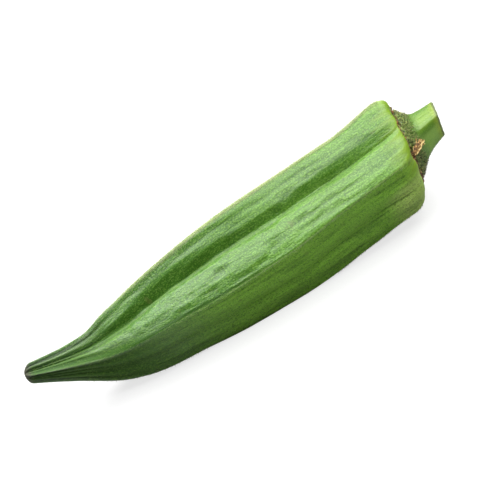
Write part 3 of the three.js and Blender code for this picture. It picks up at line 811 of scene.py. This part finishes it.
# The cap and stalk: the profile of radius against height, five-edged higher up, where the reach
# is cos 36 over the cosine of the turn from the middle of a flat, with its corners rounded; then
# the bevel and the cut, whose skin curls up at its edge round a dished pith.
def makeStalk():
    v = stalkValues
    face, across = roundColumns(v["columnsPerFace"])
    angle = rimAngle(face, across)
    sideEnd = v["stalkLength"] - v["cutBevel"]
    height = np.linspace(v["baseHeight"], sideEnd, v["sideRows"])[:, None]
    radius = curveThrough(v["stalkRadius"], height)
    turn = quarterTurn(v["bevelRows"])
    bevelHeight = sideEnd + v["cutBevel"] * np.sin(turn)
    bevelRadius = radius[-1] - v["cutBevel"] * (1 - np.cos(turn))
    share = np.linspace(1, v["cutMiddle"], v["cutRows"] + 1)[1:, None]
    skinCurl = v["cutSkin"] * bell((share - v["cutSkinAt"]) / v["cutSkinWidth"])
    dish = -v["pithDish"] * (1 - stepUp(share, *v["pithEdge"]))
    sawn = v["sawn"] * waves(*v["sawnWaves"], angle, share)
    cutHeight = v["stalkLength"] + skinCurl + dish + sawn
    cutRadius = bevelRadius[-1] * share

    heights = np.concatenate([height + 0 * angle, bevelHeight + 0 * angle, cutHeight])
    radii = np.concatenate([radius, bevelRadius, cutRadius]) + 0 * angle
    shares = np.concatenate([np.ones_like(height), np.ones_like(turn), share]) + 0 * angle
    onCut = (shares < 1).astype(float)
    pastEdge = (across + v["edgeTurn"]) % 1
    toEdge = 1 - softened(1 - np.abs(2 * pastEdge - 1), v["edgeSoftness"])
    lowest = np.cos(np.radians(36))
    flat = lowest / np.cos(np.radians(36 * toEdge))
    edge = 2 * (flat - lowest) / (1 - lowest) - 1
    edges = v["stalkEdges"] * stepUp(heights, *v["edgesRise"])
    rough = stepUp(heights, *v["knobbleFade"]) * stepUp(heights, *v["knobbleRise"])
    knobbles = v["knobble"] * rough * waves(*v["knobbleWaves"], angle, heights)
    lines = v["striation"] * stepUp(heights, *v["striationRise"])
    lines = lines * waves(*v["striationWaves"], angle, heights)
    reach = radii * (1 + edges * edge) + (knobbles + lines) * shares
    rise = curveThrough(v["stalkRise"], np.clip(heights, 0, v["stalkLength"]))
    extraLean = v["cutLean"] * (np.maximum(heights, 0) / v["stalkLength"]) ** 2
    grid = placeAtRim(face, across, reach, heights, rise, extraLean)
    first = placeAtRim(face, across, np.full((1, 1), radius[0, 0] / 2), v["baseHeight"], rise[:1])
    grid = np.concatenate([first, grid])

    # Painted shade: a darker stripe just past each edge of the stalk.
    paintedEdgeShade = bell((pastEdge - v["edgeShadeAcross"]) / v["edgeShadeWidth"])
    # Painted light: a paler tint on the stalk's lower side.
    under = stepUp(angle, *v["underLightFade"]) * stepUp(angle, *v["underLightRise"]) + 0 * heights
    attributes = {
        "height": heights, "share": shares, "cutFace": onCut, "under": under,
        "edge": paintedEdgeShade * stepUp(heights, *v["edgeShadeRise"]),
        "flow": flowPlace(heights, angle, v["flowRadius"]),
    }
    for key, field in attributes.items():
        attributes[key] = np.concatenate([field[:1], field])
    makeClosed("stalkSkin", grid, attributes, stalkMaterial(), "stalk_flesh", ["stalk"])
    return grid[1:], heights, onCut


# Closed tapering strands: each path's points are wrapped by a small oval of the given half width
# and half thickness, and both ends are closed to a point. Arrays run strand, step.
def sweepStrands(paths, aside, outward, halfWidth, halfThick, sides):
    count, steps = paths.shape[:2]
    turn = np.arange(sides) / sides * 2 * np.pi
    wide = aside[:, :, None, :] * (halfWidth[..., None] * np.cos(turn))[..., None]
    thick = outward[:, :, None, :] * (halfThick[..., None] * np.sin(turn))[..., None]
    rings = (paths[:, :, None, :] + wide + thick).reshape(count, steps * sides, 3)
    points = np.concatenate([rings, paths[:, :1], paths[:, -1:]], 1)
    quads, fans = closedFaces(steps, sides)
    offset = (np.arange(count) * points.shape[1])[:, None, None]
    quads = (quads[None] + offset).reshape(-1, 4)
    fans = (fans[None] + offset).reshape(-1, 3)
    return points.reshape(-1, 3), quads, fans, points.shape[1]


# Side directions for strands whose broad side faces outward. Both are square to the path.
def strandSides(paths, outward):
    along = unit(np.gradient(paths, axis=1))
    aside = unit(np.cross(along, outward))
    return -aside, -np.cross(along, aside)


crustValues = {
    "ringColumnsPerFace": 130, "ringSides": 12, "ringRadius": 7.95, "ringBottom": -0.9,
    "ringTop": 0.12, "topUneven": 0.1, "topWaves": (52, 30, (4, 120), (0, 0)),
    "peaks": 0.2, "peaksFrom": 0.6, "peakWaves": (51, 40, (20, 210), (0, 0)),
    "ringHalf": 0.52, "halfUneven": 0.12, "halfWaves": (54, 30, (3, 150), (0, 0)),
    "grain": 0.04, "grainWaves": (53, 60, (10, 230), (1, 6)),
    "ringTone": 0.2, "toneSpread": 0.1, "toneWaves": (55, 40, (3, 200), (1, 4)),
    "strandCount": 620, "strandSteps": 7, "strandSides": 5, "strandTone": (0, 0.75),
    "strandAcross": (0.04, 0.96), "strandSlants": [0.04, 0.18], "strandFoot": -0.2,
    "strandLength": (0.35, 1.3), "strandShorten": (0.4, 1), "strandSteepness": (0.35, 1),
    "strandScatter": 0.4, "strandBend": 0.8, "strandFace": 0.8, "capClearance": 0.12,
    "strandWidth": (0.03, 0.08), "strandTaper": 0.75, "strandThin": 0.6,
    "shredHeight": [(0, -0.5), (1, 0.5), (2, 1.3), (3, 2.1), (4, 2.8)],
    "shredRadius": [(0, 7.95), (1, 7.8), (2, 7.1), (3, 6.3), (4, 5.75)],
    "shredAngle": [(0, 19), (1, 20), (2, 23), (3, 27), (4, 32)],
    "shredBegin": (0, 1.2), "shredFinish": (2.1, 4), "shredFace": 0.8, "shredHalf": 0.66,
    "shredFibres": 70, "shredFlakes": 18, "shredSteps": 22, "shredSides": 6,
    "shredTone": (0.1, 1.1), "shredSpread": (0.85, 0.15), "liftShare": (0.6, 0.4),
    "fibreWidth": (0.045, 0.11), "fibreThin": 0.8, "flakeWidth": (0.16, 0.34), "flakeThin": 0.22,
    "fibreLift": (-0.15, 0.3), "fibreWave": 0.1, "fibreRuns": (2, 6), "fibreStarts": (0, 6),
    "fray": 0.34, "frayRise": (2, 4.2), "seed": 61,
}
crustColours = {
    "dark": (0.065, 0.038, 0.018), "brown": (0.2, 0.105, 0.038), "rust": (0.42, 0.21, 0.06),
    "tan": (0.8, 0.62, 0.25),
}


# Four browns in the order of each strand's own tone, shifted by a fine grain.
def crustMaterial():
    f = Finish("driedCrust")
    c = crustColours
    where = f.objectPlace()
    tone = f.attribute("tone")
    grain = f.noise(where, 2000, 3, 0.65)
    mixed = f.math("ADD", tone, f.ramp(grain, 0.35, 0.65, -0.32, 0.32))
    colour = f.tints(c["dark"], c, (
        ("brown", mixed, 0.05, 0.35), ("rust", mixed, 0.35, 0.62), ("tan", mixed, 0.6, 0.95),
    ))
    return f.finish(colour, Roughness=0.7, Normal=f.bump(grain, 0.05, 0.6), Specular_IOR_Level=0.35)


# The ring: an oval section carried round the crease, its top torn into small uneven peaks.
def crustRing():
    v = crustValues
    face, across = roundColumns(v["ringColumnsPerFace"])
    angle = rimAngle(face, across)
    turn = -(np.arange(v["ringSides"]) / v["ringSides"] * 2 * np.pi)[:, None]
    peaks = np.maximum(waves(*v["peakWaves"], angle, 0) - v["peaksFrom"], 0)
    top = v["ringTop"] + v["topUneven"] * waves(*v["topWaves"], angle, 0) + v["peaks"] * peaks
    middle = (top + v["ringBottom"]) / 2
    tall = (top - v["ringBottom"]) / 2
    thick = v["ringHalf"] * (1 + v["halfUneven"] * waves(*v["halfWaves"], angle, 0))
    grain = v["grain"] * waves(*v["grainWaves"], angle, turn * 2)
    radius = v["ringRadius"] + (thick + grain) * np.cos(turn)
    points = placeAtRim(face, across, radius, middle + (tall + grain) * np.sin(turn))
    tone = v["ringTone"] + v["toneSpread"] * waves(*v["toneWaves"], angle, turn)
    quads = gridFaces(v["ringSides"], angle.shape[1], True)
    return points.reshape(-1, 3), quads, noTriangles, tone.ravel()


# Short strands that stand from the ring and bend in over the cap, clear of its surface.
def crustStrands(rng):
    v = crustValues
    n = v["strandCount"]
    t = np.linspace(0, 1, v["strandSteps"])[None, :]
    face = np.repeat(rng.integers(0, 5, n)[:, None], v["strandSteps"], 1)
    start = drawColumn(rng, v["strandAcross"], n)
    slant = rng.normal(0, 1, n) * rng.choice(v["strandSlants"], n)
    across = np.clip(start + slant[:, None] * t, 0, 1)
    length = drawColumn(rng, v["strandLength"], n) * drawColumn(rng, v["strandShorten"], n)
    height = v["strandFoot"] + length * t * drawColumn(rng, v["strandSteepness"], n)
    radius = v["ringRadius"] + v["strandScatter"] * drawColumn(rng, (-1, 1), n)
    capRadius = curveThrough(stalkValues["stalkRadius"], np.maximum(height, 0))
    radius = np.maximum(radius - v["strandBend"] * length * t**1.5, capRadius + v["capClearance"])
    paths = placeAtRim(face, across, radius, height)
    outward = placeAtRim(face, across, radius + 1, height + v["strandFace"]) - paths
    aside, outward = strandSides(paths, outward)
    half = drawColumn(rng, v["strandWidth"], n) * (1 - v["strandTaper"] * t)
    sides = v["strandSides"]
    strands = sweepStrands(paths, aside, outward, half, half * v["strandThin"], sides)
    return *strands[:3], np.repeat(rng.uniform(*v["strandTone"], n), strands[3])


# The torn shred: wavy fibres and thin flakes along one path, spread across its width, frayed at
# the free end. Where t is the place along the path, 0 to 4, the spread follows the cosine of 3t,
# and a strand's width is a power of a sine along it, never less than a quarter.
def crustShred(rng, count, widths, thin):
    v = crustValues
    along = np.linspace(0, 1, v["shredSteps"])[None, :]
    begin = drawColumn(rng, v["shredBegin"], count)
    finish = drawColumn(rng, v["shredFinish"], count)
    t = begin + (finish - begin) * along
    angle = curveThrough(v["shredAngle"], t)
    radius = curveThrough(v["shredRadius"], t)
    height = curveThrough(v["shredHeight"], t)
    shift = lieValues["rimShift"]
    end = lieValues["podLength"]
    centre = place(end, angle, radius, height, shift)
    outward = place(end, angle, 1, height + v["shredFace"], shift)
    aside, outward = strandSides(centre, outward - place(end, angle, 0, height, shift))
    evenSpread, spreadSwing = v["shredSpread"]
    spread = drawColumn(rng, (-1, 1), count) * (evenSpread + spreadSwing * np.cos(t * 3))
    wave = t * drawColumn(rng, v["fibreRuns"], count)
    wave = np.sin(wave + drawColumn(rng, v["fibreStarts"], count))
    fray = v["fray"] * rng.normal(0, 1, count)[:, None] * stepUp(t, *v["frayRise"])
    liftStart, liftGrowth = v["liftShare"]
    lift = drawColumn(rng, v["fibreLift"], count) * (liftStart + liftGrowth * t)
    sideways = v["shredHalf"] * spread + v["fibreWave"] * wave + fray
    paths = centre + aside * sideways[..., None] + outward * lift[..., None]
    aside, outward = strandSides(paths, outward)
    taper = 0.25 + 0.75 * np.sin(np.pi * (along * 0.94 + 0.03)) ** 0.6
    half = drawColumn(rng, widths, count) / 2 * taper
    strands = sweepStrands(paths, aside, outward, half, half * thin, v["shredSides"])
    return *strands[:3], np.repeat(rng.uniform(*v["shredTone"], count), strands[3])


# One mesh of several: faces are counted on from the points of the parts before.
def joinParts(parts):
    offsets = np.cumsum([0] + [len(part[0]) for part in parts])
    points = np.concatenate([part[0] for part in parts])
    quads = np.concatenate([part[1] + offset for part, offset in zip(parts, offsets)])
    triangles = np.concatenate([part[2] + offset for part, offset in zip(parts, offsets)])
    return points, quads, triangles, np.concatenate([part[3] for part in parts])


# The shred is drawn before the strands, all from one row of random numbers.
def makeCrust():
    v = crustValues
    rng = np.random.default_rng(v["seed"])
    fibres = crustShred(rng, v["shredFibres"], v["fibreWidth"], v["fibreThin"])
    flakes = crustShred(rng, v["shredFlakes"], v["flakeWidth"], v["flakeThin"])
    *shape, tone = joinParts([crustRing(), crustStrands(rng), fibres, flakes])
    crust = crustMaterial()
    makePiece("calyxCrust", *shape, {"tone": tone}, crust, "dried_scar", ["calyx_scar"])


# Fine hairs on a grid's surface: each is a thin three-sided spike. Roots are drawn at random
# with the given weight for each cell and are sunk a little; each hair stands along the normal,
# which is the cross product of the grid's two directions, plus a set lean and its own tilt. Near
# the ground, below the height called lowest, no hair points down.
def growHairs(name, grid, weights, material, slotName, v):
    rng = np.random.default_rng(v["seed"])
    count = v["count"]
    roundward = np.roll(grid, -1, axis=1) - np.roll(grid, 1, axis=1)
    normals = unit(np.cross(roundward, np.gradient(grid, axis=0)))
    right = np.roll(grid, -1, axis=1)
    area = np.linalg.norm(np.cross(right[:-1] - grid[:-1], grid[1:] - grid[:-1]), axis=-1)
    chance = area * weights[:-1]
    cells = rng.choice(chance.size, count, p=(chance / chance.sum()).ravel())
    row, column = np.divmod(cells, grid.shape[1])
    after = (column + 1) % grid.shape[1]
    a = drawColumn(rng, (0, 1), count)
    b = drawColumn(rng, (0, 1), count)

    def blended(field):
        low = field[row, column] * (1 - a) + field[row, after] * a
        high = field[row + 1, column] * (1 - a) + field[row + 1, after] * a
        return low * (1 - b) + high * b

    root = blended(grid)
    normal = unit(blended(normals))
    direction = unit(normal + np.array(v["lean"]) + v["tilt"] * rng.normal(0, 1, (count, 3)))
    direction[:, 2] = np.where(root[:, 2] < v["lowest"], np.abs(direction[:, 2]), direction[:, 2])
    length = drawColumn(rng, v["length"], count)
    aside = unit(np.cross(direction, rng.normal(0, 1, (count, 3))))
    other = np.cross(direction, aside)
    root = root - normal * v["sunk"]
    corners = []
    for turn in (0, 2 * np.pi / 3, 4 * np.pi / 3):
        corners.append(root + v["thick"] / 2 * (np.cos(turn) * aside + np.sin(turn) * other))
    corners.append(root + direction * (length + v["sunk"]))
    points = np.stack(corners, 1).reshape(-1, 3)
    spike = np.array([[0, 1, 3], [1, 2, 3], [2, 0, 3], [0, 2, 1]])
    triangles = spike[None] + (np.arange(count) * 4)[:, None, None]
    points[:, 2] = np.maximum(points[:, 2], 0)
    tone = np.repeat(rng.uniform(0, 1, count), 4)
    makePiece(name, points, noQuads, triangles.reshape(-1, 3), {"tone": tone}, material, slotName)


# Each hair has one tone from 0 to 1, dark below darkShare and pale above it.
def hairMaterial(name, v):
    f = Finish(name)
    low, high = v["darkShare"] - 0.05, v["darkShare"] + 0.05
    colour = f.tint(v["dark"], v["pale"], f.attribute("tone"), low, high)
    return f.finish(colour, Roughness=0.5, Specular_IOR_Level=0.4)


bodyHairs = {
    "count": 46000, "length": (0.16, 0.42), "thick": 0.045, "tilt": 0.4, "lean": (-0.35, 0, 0),
    "sunk": 0.05, "lowest": 0.6, "from": 1.5, "to": 86, "seed": 71,
    "dark": (0.04, 0.12, 0.006), "pale": (0.32, 0.54, 0.1), "darkShare": 0.45,
}
ridgeHairs = {
    "count": 30000, "length": (0.15, 0.42), "thick": 0.04, "tilt": 0.35, "lean": (-0.25, 0, 0),
    "sunk": 0.05, "lowest": 0.6, "band": 0.24, "rise": (5, 50), "share": [1, 0.05, 0.2, 0.2, 0.6],
    "dark": (0.22, 0.36, 0.07), "pale": (0.72, 0.78, 0.46), "darkShare": 0.35, "seed": 72,
}
capHairs = {
    "count": 4200, "length": (0.25, 0.7), "thick": 0.085, "tilt": 0.45, "lean": (0.1, 0, 0),
    "sunk": 0.05, "lowest": 0, "rise": (-0.4, -0.1), "fade": (3, 1.8), "seed": 73,
    "dark": (0.025, 0.03, 0.01), "pale": (0.44, 0.47, 0.17), "darkShare": 0.5,
}
stalkHairs = {
    "count": 9000, "length": (0.1, 0.28), "thick": 0.03, "tilt": 0.4, "lean": (0.15, 0, 0),
    "sunk": 0.04, "lowest": 0, "rise": (1.5, 3), "seed": 74,
}


# Down all over the pod, denser and paler along its ridges, stubble on the cap and short down up
# the stalk, which shares the pod's down material.
def makeHairs(skin, stalk):
    grid, station, fromCrest, ridge = skin
    v = bodyHairs
    inside = (station > v["from"]) & (station < v["to"])
    down = hairMaterial("podDown", v)
    growHairs("bodyDown", grid, inside.astype(float), down, "pod_skin", v)
    v = ridgeHairs
    weights = bell(fromCrest / v["band"]) * stepUp(station, *v["rise"]) * inside
    weights = weights * pick(v["share"], ridge)
    growHairs("ridgeDown", grid, weights, hairMaterial("ridgeDown", v), "pod_skin", v)
    grid, heights, onCut = stalk
    v = capHairs
    weights = stepUp(heights, *v["fade"]) * stepUp(heights, *v["rise"]) * (1 - onCut)
    growHairs("capStubble", grid, weights, hairMaterial("capStubble", v), "stalk_flesh", v)
    v = stalkHairs
    weights = stepUp(heights, *v["rise"]) * (1 - onCut)
    growHairs("stalkDown", grid, weights, down, "stalk_flesh", v)


lookValues = {
    "elevation": 35, "roll": 31.63, "distance": 600, "lens": 218.6,
    "aimStation": 50, "aimAbove": 1.96,
    "softboxFrom": (0.2, 0.15, 0.95), "softboxDistance": 700, "softboxSize": (1300, 1200),
    "softboxPower": 22.5, "ambient": 0.13, "floorHalf": 4000, "floorDrop": 0.02,
    "floorColour": (0.26, 0.26, 0.26), "floorRoughness": 0.5, "floorGlow": 0.74,
}


# An object at a place, whose own X, Y and Z point along the three axes.
def addTurned(name, data, place, axes):
    item = bpy.data.objects.new(name, data)
    item.matrix_world = Matrix.Translation(place) @ Matrix(axes).transposed().to_4x4()
    bpy.context.collection.objects.link(item)
    return item


# A wide softbox that faces the aim, with its long side as near along X as its direction allows.
def makeSoftbox(v, aim):
    light = bpy.data.lights.new("softbox", "AREA")
    light.shape = "RECTANGLE"
    light.size = v["softboxSize"][0] * mm
    light.size_y = v["softboxSize"][1] * mm
    light.energy = v["softboxPower"]
    toward = Vector(v["softboxFrom"]).normalized()
    longSide = (Vector((1, 0, 0)) - toward * toward.x).normalized()
    place = aim + toward * v["softboxDistance"] * mm
    addTurned("softbox", light, place, (longSide, toward.cross(longSide), toward))


# The camera looks down at the pod from its -Y side and is turned about its own line of sight, so
# that the pod climbs from the lower left of the picture to the upper right.
def makeCamera(v, aim):
    elevation = np.radians(v["elevation"])
    roll = np.radians(v["roll"])
    right = Vector((1, 0, 0))
    up = Vector((0, np.sin(elevation), np.cos(elevation)))
    back = Vector((0, -np.cos(elevation), np.sin(elevation)))
    turnedRight = right * np.cos(roll) - up * np.sin(roll)
    turnedUp = right * np.sin(roll) + up * np.cos(roll)
    place = aim + turnedUp * v["aimAbove"] * mm + back * v["distance"] * mm
    data = bpy.data.cameras.new("camera")
    data.lens = v["lens"]
    data.clip_start = 0.01
    data.clip_end = 100
    camera = addTurned("camera", data, place, (turnedRight, turnedUp, back))
    bpy.context.scene.camera = camera


# A pale sheet. Its glow lifts it to white in the picture without lighting the pod from below.
def makeFloor(v):
    half = v["floorHalf"] * mm
    low = -v["floorDrop"] * mm
    corners = [(-half, -half, low), (half, -half, low), (half, half, low), (-half, half, low)]
    mesh = bpy.data.meshes.new("floor")
    mesh.from_pydata(corners, [], [(0, 1, 2, 3)])
    floor = bpy.data.objects.new("floor", mesh)
    bpy.context.collection.objects.link(floor)
    f = Finish("whiteSurface")
    glow = f.times(f.nodes.new("ShaderNodeLightPath").outputs["Is Camera Ray"], v["floorGlow"])
    white = f.finish(
        v["floorColour"], Roughness=v["floorRoughness"],
        Emission_Color=(1, 1, 1), Emission_Strength=glow,
    )
    mesh.materials.append(white)


# Even light from all round, and plain white where the picture looks past the floor.
def makeSurround(v):
    world = bpy.data.worlds.new("surround")
    bpy.context.scene.world = world
    world.use_nodes = True
    nodes = world.node_tree.nodes
    links = world.node_tree.links
    nodes.clear()
    output = nodes.new("ShaderNodeOutputWorld")
    choose = nodes.new("ShaderNodeMixShader")
    path = nodes.new("ShaderNodeLightPath")
    links.new(path.outputs["Is Camera Ray"], choose.inputs["Fac"])
    for slot, strength in ((1, v["ambient"]), (2, 1)):
        white = nodes.new("ShaderNodeBackground")
        white.inputs["Color"].default_value = (1, 1, 1, 1)
        white.inputs["Strength"].default_value = strength
        links.new(white.outputs["Background"], choose.inputs[slot])
    links.new(choose.outputs["Shader"], output.inputs["Surface"])


bpy.context.scene.view_settings.view_transform = "Standard"
aimRise = float(curveThrough(lieValues["axisRise"], lookValues["aimStation"]))
aimX = lieValues["startX"] + lookValues["aimStation"]
aim = Vector((aimX, lieValues["sideShift"], lieValues["axisHeight"] + aimRise)) * mm
makeCamera(lookValues, aim)
makeSoftbox(lookValues, aim)
makeFloor(lookValues)
makeSurround(lookValues)
print("camera, light and floor ready")
skin = makeSkin()
stalk = makeStalk()
makeCrust()
makeHairs(skin, stalk)
